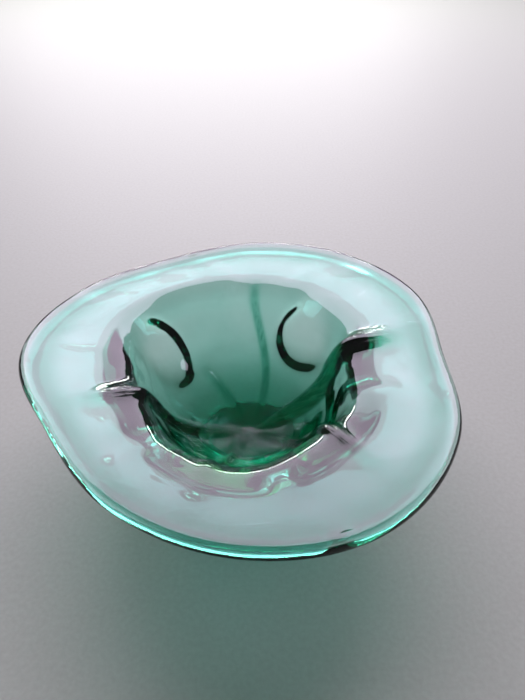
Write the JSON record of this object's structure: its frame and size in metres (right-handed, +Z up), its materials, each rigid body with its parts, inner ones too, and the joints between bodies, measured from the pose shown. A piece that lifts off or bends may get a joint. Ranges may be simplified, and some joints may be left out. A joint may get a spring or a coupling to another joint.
{
  "type": "art glass bowl",
  "caption": "Free-standing hot-worked cased glass bowl with a folded funnel well, a broad wavy turned-out flange and a heavy flat-footed base.",
  "frame": {"origin": "centre of the flat ground foot", "axes": "+Z up out of the foot; +Y from the front of the bowl to its back; +X to the right seen from the front"},
  "size_m": [0.2815, 0.2851, 0.1017],
  "materials": {
    "clear_lining": "fire-polished colourless lining, gloss",
    "green_core": "sea-green glass sealed between clear layers",
    "clear_casing": "fire-polished colourless casing with a ground flat foot, gloss"
  },
  "bodies": {
    "root": {"clear_inner_layer": "clear_lining", "green_core_layer": "green_core", "clear_outer_casing": "clear_casing"}
  },
  "joints": []
}
